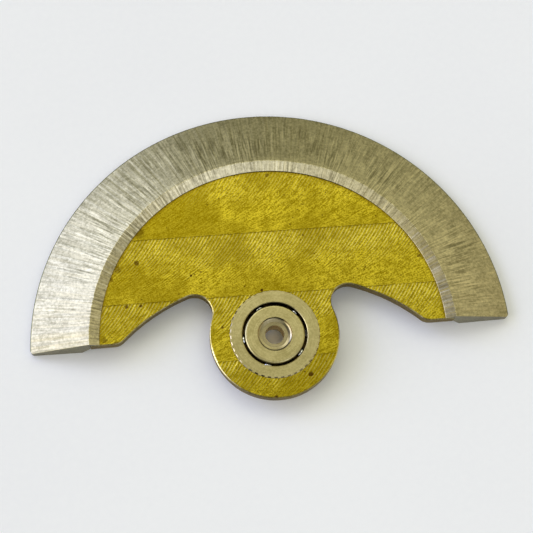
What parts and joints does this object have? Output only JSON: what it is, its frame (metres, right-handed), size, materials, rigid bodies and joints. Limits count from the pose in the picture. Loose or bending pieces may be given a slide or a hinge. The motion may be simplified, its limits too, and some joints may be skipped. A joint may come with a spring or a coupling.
{
  "type": "automatic watch rotor",
  "caption": "Oscillating weight for an automatic watch: half-ring weight on a striped brass plate, turning on a ball bearing with a toothed outer ring.",
  "frame": {"origin": "on the bearing's axis, at the flat face of the inner ring that seats on the movement", "axes": "+Z along the bearing's axis, out of the decorated face; +Y towards the middle of the half ring; +X along the long side"},
  "size_m": [0.0256, 0.0162, 0.0016],
  "materials": {
    "heavy_alloy": "radially brushed",
    "striped_brass": "wide straight stripes of fine slanting lines",
    "bearing_steel": "fine turned and lapped",
    "cage_brass": "as stamped",
    "ball_steel": "polished"
  },
  "bodies": {
    "inner_ring": {"bearing_inner_core": "bearing_steel", "bearing_inner_cone": "bearing_steel"},
    "rotor": {"half_ring_weight": "heavy_alloy", "carrier_plate": "striped_brass", "bearing_outer_ring": "bearing_steel"},
    "cage": {"ball_cage": "cage_brass"},
    "ball_1": {"ball_1": "ball_steel"},
    "ball_2": {"ball_2": "ball_steel"},
    "ball_3": {"ball_3": "ball_steel"},
    "ball_4": {"ball_4": "ball_steel"},
    "ball_5": {"ball_5": "ball_steel"}
  },
  "joints": [
    {"name": "rotor_spin", "type": "hinge", "parent": "inner_ring", "child": "rotor", "pos_m": [0, 0, 0.00052], "axis": [0, 0, 1], "continuous": true},
    {"name": "cage_spin", "type": "hinge", "parent": "inner_ring", "child": "cage", "pos_m": [0, 0, 0.00052], "axis": [0, 0, 1], "continuous": true},
    {"name": "ball_1_spin", "type": "hinge", "parent": "cage", "child": "ball_1", "pos_m": [0.00118, 0.00117, 0.00052], "axis": [0, 0, 1], "continuous": true},
    {"name": "ball_2_spin", "type": "hinge", "parent": "cage", "child": "ball_2", "pos_m": [-0.00068, 0.00152, 0.00052], "axis": [0, 0, 1], "continuous": true},
    {"name": "ball_3_spin", "type": "hinge", "parent": "cage", "child": "ball_3", "pos_m": [-0.00166, -0.00009, 0.00052], "axis": [0, 0, 1], "continuous": true},
    {"name": "ball_4_spin", "type": "hinge", "parent": "cage", "child": "ball_4", "pos_m": [-0.0005, -0.00158, 0.00052], "axis": [0, 0, 1], "continuous": true},
    {"name": "ball_5_spin", "type": "hinge", "parent": "cage", "child": "ball_5", "pos_m": [0.0013, -0.00103, 0.00052], "axis": [0, 0, 1], "continuous": true}
  ],
  "couplings": [
    {"joint": "cage_spin", "follows": "rotor_spin", "ratio": 0.5639},
    {"joint": "ball_1_spin", "follows": "rotor_spin", "ratio": 3.8488},
    {"joint": "ball_2_spin", "follows": "rotor_spin", "ratio": 3.8488},
    {"joint": "ball_3_spin", "follows": "rotor_spin", "ratio": 3.8488},
    {"joint": "ball_4_spin", "follows": "rotor_spin", "ratio": 3.8488},
    {"joint": "ball_5_spin", "follows": "rotor_spin", "ratio": 3.8488}
  ]
}
